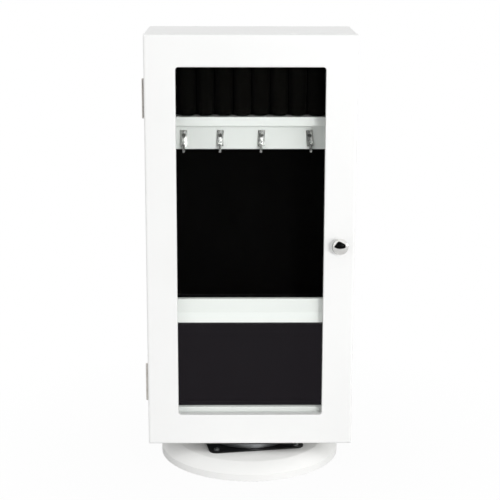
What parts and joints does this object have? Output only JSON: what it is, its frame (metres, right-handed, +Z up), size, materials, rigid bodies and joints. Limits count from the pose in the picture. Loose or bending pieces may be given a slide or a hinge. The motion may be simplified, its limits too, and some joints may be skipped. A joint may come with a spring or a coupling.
{
  "type": "jewelry cabinet",
  "caption": "Counter-top jewelry cabinet: white box on a swivel base, glass door hinged at the left, upright ring rolls, necklace hooks and two lipped trays.",
  "frame": {"origin": "middle of the base's underside, on the swivel axis", "axes": "+Z up along the swivel axis, +Y from the door to the back, +X to the right seen from the front"},
  "size_m": [0.213, 0.188, 0.448],
  "materials": {
    "white_paint": "satin white paint on fibreboard",
    "black_velvet": "short black velvet pile",
    "felt": "dense black felt",
    "glass": "clear polished float glass",
    "chrome": "polished chrome plate",
    "nickel_steel": "dull nickel plate",
    "zinc_steel": "zinc plate",
    "black_steel": "black enamel on stamped steel",
    "bare_wood": "unfinished beech",
    "magnet": "bare ground magnet",
    "rubber": "soft dark rubber"
  },
  "bodies": {
    "base": {"base_felt": "felt", "base_disc": "white_paint", "bearing_lower_plate": "black_steel", "lower_plate_screws": "zinc_steel", "bearing_balls": "zinc_steel"},
    "cabinet": {"bearing_upper_plate": "black_steel", "bearing_ring": "zinc_steel", "upper_plate_screws": "zinc_steel", "bottom_panel": "white_paint", "left_side": "white_paint", "right_side": "white_paint", "top_panel": "white_paint", "back_board": "white_paint", "panel_dowels": "bare_wood", "ring_shelf": "white_paint", "hook_rail": "white_paint", "necklace_hooks": "chrome", "hook_screws": "chrome", "tray_shelf": "white_paint", "tray_lip": "white_paint", "bottom_lip": "white_paint", "roll_board": "black_velvet", "ring_rolls": "black_velvet", "necklace_lining": "black_velvet", "lower_lining": "black_velvet", "tray_pad": "black_velvet", "bottom_pad": "black_velvet", "upper_hinge_box_leaf": "nickel_steel", "lower_hinge_box_leaf": "nickel_steel", "hinge_pins": "nickel_steel", "box_leaf_screws": "nickel_steel", "catch_magnet": "magnet"},
    "door": {"door_board": "white_paint", "glass_pane": "glass", "glass_beads": "white_paint", "upper_hinge_door_leaf": "nickel_steel", "lower_hinge_door_leaf": "nickel_steel", "door_leaf_screws": "nickel_steel", "knob": "chrome", "knob_screw": "zinc_steel", "strike_plate": "zinc_steel", "strike_screw": "zinc_steel", "door_bumpers": "rubber"}
  },
  "joints": [
    {"name": "swivel", "type": "hinge", "parent": "base", "child": "cabinet", "pos_m": [0, 0, 0.0205], "axis": [0, 0, 1], "continuous": true},
    {"name": "door_hinge", "type": "hinge", "parent": "cabinet", "child": "door", "pos_m": [-0.1065, -0.0395, 0.237], "axis": [0, 0, -1], "range_deg": [0, 180]}
  ]
}
